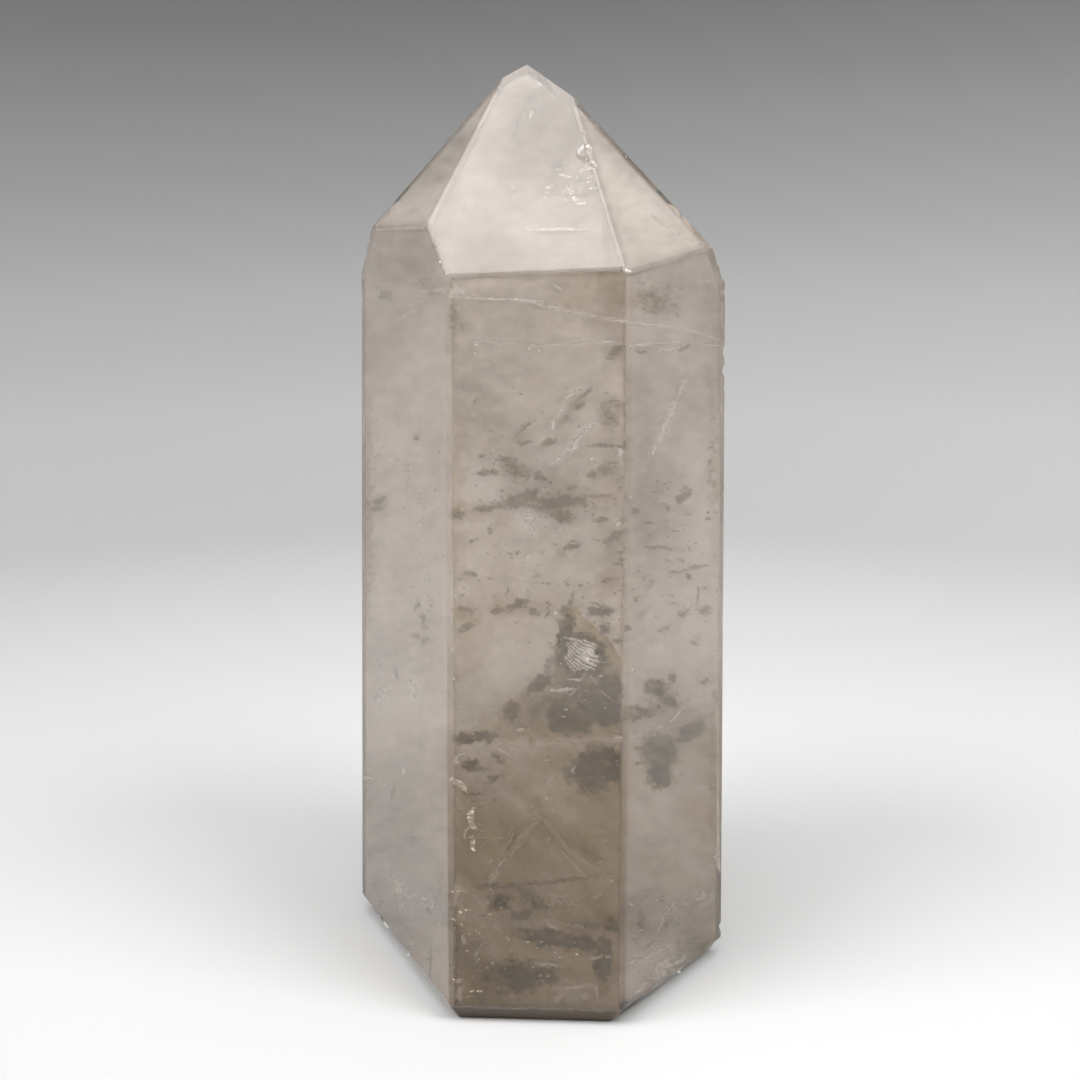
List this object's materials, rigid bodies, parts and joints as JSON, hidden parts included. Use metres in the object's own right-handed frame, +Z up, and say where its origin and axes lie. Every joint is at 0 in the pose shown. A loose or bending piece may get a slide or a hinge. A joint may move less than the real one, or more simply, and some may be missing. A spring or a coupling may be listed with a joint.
{
  "type": "girasol quartz point",
  "caption": "Polished point of milky grey-brown girasol quartz, with flat side faces, a faceted tip and a flat base that it stands on.",
  "frame": {"origin": "middle of the crystal's outline seen from above, on the plane of its base", "axes": "+Z up along the crystal to its tip, -Y out of its broad front face"},
  "size_m": [0.043, 0.0442, 0.0999],
  "materials": {
    "milky_quartz": "polished"
  },
  "bodies": {
    "root": {"quartz_point": "milky_quartz"}
  },
  "joints": []
}
